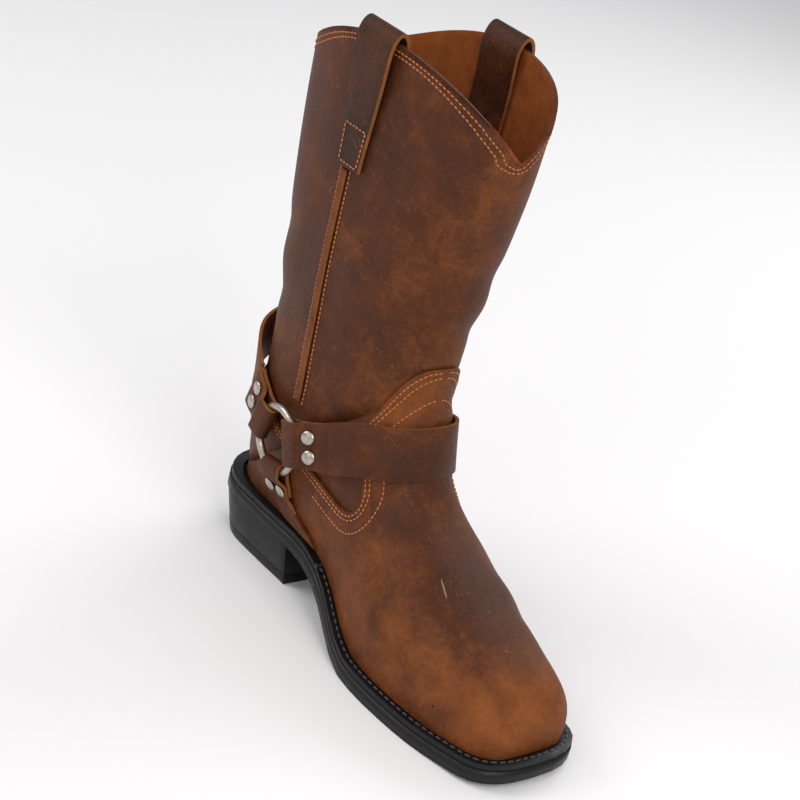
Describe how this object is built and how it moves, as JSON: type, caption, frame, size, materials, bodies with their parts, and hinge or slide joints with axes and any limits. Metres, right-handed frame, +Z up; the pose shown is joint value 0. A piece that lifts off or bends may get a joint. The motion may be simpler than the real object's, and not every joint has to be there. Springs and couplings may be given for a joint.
{
  "type": "harness boot",
  "caption": "Tall pull-on harness boot with a square toe: hollow leather upper with vamp and counter, ringed and riveted straps, pull loops, welted rubber sole and stacked heel.",
  "frame": {"origin": "centre of the heel's rest face, on the floor", "axes": "+X towards the toe, +Y to the wearer's left, which is the lateral side of this left boot, +Z up"},
  "size_m": [0.3235, 0.1147, 0.3688],
  "materials": {
    "brown_leather": "matte waxed pull-up leather",
    "black_rubber": "satin moulded rubber",
    "insole_leather": "plain matte",
    "satin_nickel": "satin nickel plate"
  },
  "bodies": {
    "root": {"back_strap": "brown_leather", "front_strap": "brown_leather", "heel_block": "black_rubber", "heel_cap": "black_rubber", "heel_counter": "brown_leather", "insole": "insole_leather", "low_strap_lateral": "brown_leather", "low_strap_medial": "brown_leather", "outsole": "black_rubber", "pull_strap_lateral": "brown_leather", "pull_strap_medial": "brown_leather", "ring_lateral": "satin_nickel", "ring_medial": "satin_nickel", "rivet_back_lateral_1": "satin_nickel", "rivet_back_lateral_2": "satin_nickel", "rivet_back_medial_1": "satin_nickel", "rivet_back_medial_2": "satin_nickel", "rivet_front_lateral_1": "satin_nickel", "rivet_front_lateral_2": "satin_nickel", "rivet_front_medial_1": "satin_nickel", "rivet_front_medial_2": "satin_nickel", "rivet_low_lateral_1": "satin_nickel", "rivet_low_lateral_2": "satin_nickel", "rivet_low_medial_1": "satin_nickel", "rivet_low_medial_2": "satin_nickel", "seam_piping_lateral": "brown_leather", "seam_piping_medial": "brown_leather", "upper": "brown_leather", "vamp": "brown_leather", "welt": "black_rubber"}
  },
  "joints": []
}
